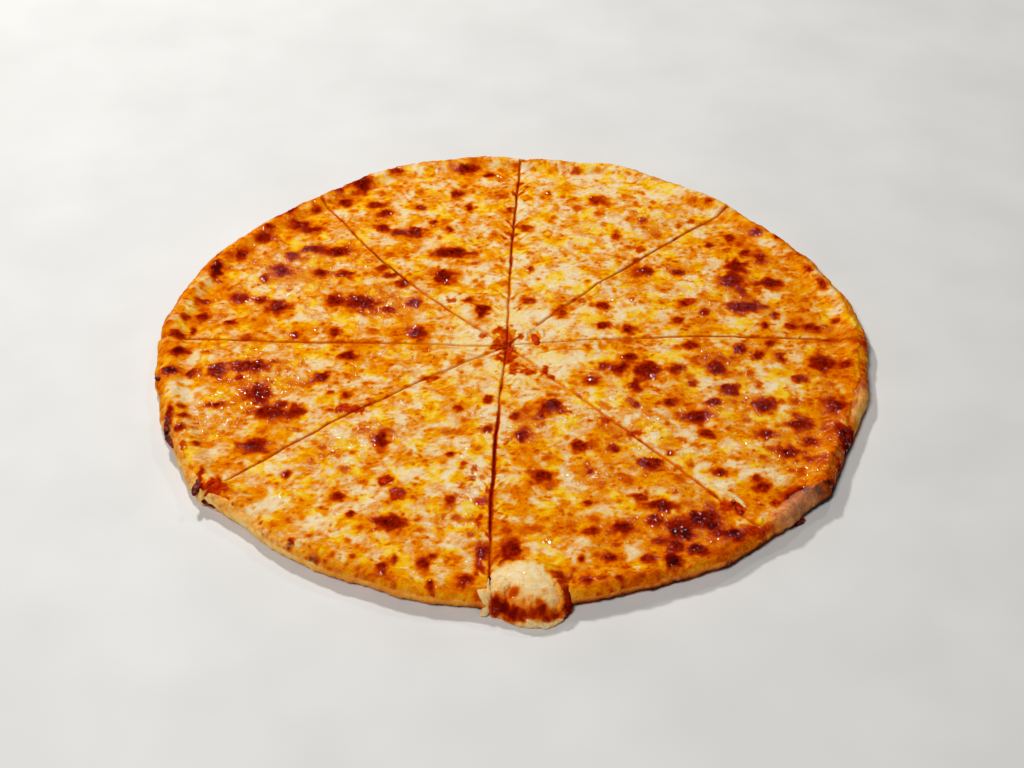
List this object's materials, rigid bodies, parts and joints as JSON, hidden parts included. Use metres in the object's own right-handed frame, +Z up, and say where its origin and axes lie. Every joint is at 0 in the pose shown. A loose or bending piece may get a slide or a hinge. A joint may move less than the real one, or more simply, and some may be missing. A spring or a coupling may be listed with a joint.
{
  "type": "margherita pizza",
  "caption": "Thin-crust baked pizza with tomato sauce under melted, blistered cheese, cut into slices that still lie together.",
  "frame": {"origin": "middle of the whole pizza's box, on its flat underside", "axes": "+Z up through the cheese, +X to the right and +Y away from a viewer who stands where a lobe of cheese runs over the edge"},
  "size_m": [0.3524, 0.3608, 0.0125],
  "materials": {
    "crust": "matte baked dough",
    "sauce": "wet tomato sauce",
    "cheese": "oily melted cheese with browned blisters"
  },
  "bodies": {
    "root": {"crust_1": "crust", "sauce_1": "sauce", "cheese_1": "cheese", "crust_2": "crust", "sauce_2": "sauce", "cheese_2": "cheese", "crust_3": "crust", "sauce_3": "sauce", "cheese_3": "cheese", "crust_4": "crust", "sauce_4": "sauce", "cheese_4": "cheese", "crust_5": "crust", "sauce_5": "sauce", "cheese_5": "cheese", "crust_6": "crust", "sauce_6": "sauce", "cheese_6": "cheese", "crust_7": "crust", "sauce_7": "sauce", "cheese_7": "cheese", "crust_8": "crust", "sauce_8": "sauce", "cheese_8": "cheese"}
  },
  "joints": []
}
